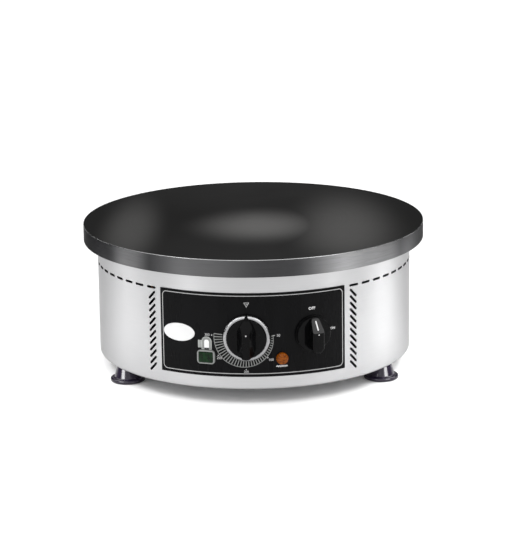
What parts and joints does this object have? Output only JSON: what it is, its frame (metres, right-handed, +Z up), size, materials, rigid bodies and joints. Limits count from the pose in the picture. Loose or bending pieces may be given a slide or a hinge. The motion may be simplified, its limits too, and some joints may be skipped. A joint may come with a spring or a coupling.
{
  "type": "electric crepe maker",
  "caption": "Round countertop griddle: flat cast plate on a steel drum with a curved control panel, a temperature knob, a heat switch, pilot lamps and rubber feet.",
  "frame": {"origin": "centre of the round footprint, on the surface that the feet stand on", "axes": "+Z up along the drum's axis; the control panel faces -Y; +X is to the right seen from the front"},
  "size_m": [0.3999, 0.4048, 0.1712],
  "materials": {
    "griddle_iron": "satin",
    "housing_steel": "satin",
    "plain_steel": "satin",
    "zinc_steel": "gloss",
    "heater_sheath": "matte",
    "insulation_wool": "matte",
    "ceramic_white": "matte",
    "copper_tube": "satin",
    "brass_terminal": "satin",
    "panel_black": "satin",
    "badge_white": "gloss",
    "knob_black": "satin",
    "knob_ring_silver": "satin",
    "amber_lens": "gloss",
    "green_lens": "gloss",
    "lamp_bezel_grey": "satin",
    "control_plastic": "satin",
    "gland_plastic": "satin",
    "foot_rubber": "gloss",
    "seal_rubber": "matte",
    "block_plastic": "satin",
    "live_brown": "satin",
    "neutral_blue": "satin",
    "earth_green": "satin"
  },
  "bodies": {
    "cooker": {"amber_lamp_body": "control_plastic", "amber_lamp_lens": "amber_lens", "amber_lamp_nut": "control_plastic", "base_nuts": "zinc_steel", "base_plate": "plain_steel", "base_screws": "zinc_steel", "bulb_clip": "plain_steel", "bulb_clip_screws": "zinc_steel", "cable_gland": "gland_plastic", "control_panel": "panel_black", "control_screws": "zinc_steel", "earth_lug": "copper_tube", "earth_nuts": "zinc_steel", "earth_stud": "zinc_steel", "earth_wire": "earth_green", "foot_back": "foot_rubber", "foot_left": "foot_rubber", "foot_nuts": "zinc_steel", "foot_right": "foot_rubber", "foot_screws": "zinc_steel", "foot_washers": "zinc_steel", "gland_cap": "gland_plastic", "gland_lock_nut": "gland_plastic", "gland_seal": "seal_rubber", "green_lamp_bezel": "lamp_bezel_grey", "green_lamp_body": "control_plastic", "green_lamp_clips": "zinc_steel", "green_lamp_lens": "green_lens", "griddle_plate": "griddle_iron", "heater_clamp": "plain_steel", "heater_clamp_nuts": "zinc_steel", "heater_end_insulators": "ceramic_white", "heater_terminal_pins": "zinc_steel", "heating_element": "heater_sheath", "housing": "housing_steel", "insulation_disc": "insulation_wool", "lamp_pins": "brass_terminal", "live_wires": "live_brown", "neutral_wires": "neutral_blue", "oval_badge": "badge_white", "plate_studs": "zinc_steel", "probe_bulb": "plain_steel", "probe_capillary": "copper_tube", "reflector_tray": "plain_steel", "selector_bracket": "plain_steel", "selector_switch_body": "control_plastic", "selector_terminals": "brass_terminal", "terminal_block": "block_plastic", "terminal_screws": "zinc_steel", "thermostat_body": "control_plastic", "thermostat_bracket": "plain_steel", "thermostat_terminals": "brass_terminal", "tray_nuts": "zinc_steel", "tray_washers": "zinc_steel"},
    "thermostat_control": {"thermostat_knob": "knob_black", "thermostat_knob_ring": "knob_ring_silver", "thermostat_shaft": "zinc_steel"},
    "selector_control": {"selector_knob": "knob_black", "selector_shaft": "zinc_steel"}
  },
  "joints": [
    {"name": "thermostat_turn", "type": "hinge", "parent": "cooker", "child": "thermostat_control", "pos_m": [-0.00666, -0.18553, 0.0786], "axis": [0.0359, 0.9994, 0], "range_deg": [0, 270]},
    {"name": "selector_turn", "type": "hinge", "parent": "cooker", "child": "selector_control", "pos_m": [0.06753, -0.17293, 0.0792], "axis": [-0.3637, 0.9315, 0], "range_deg": [0, 90]}
  ]
}
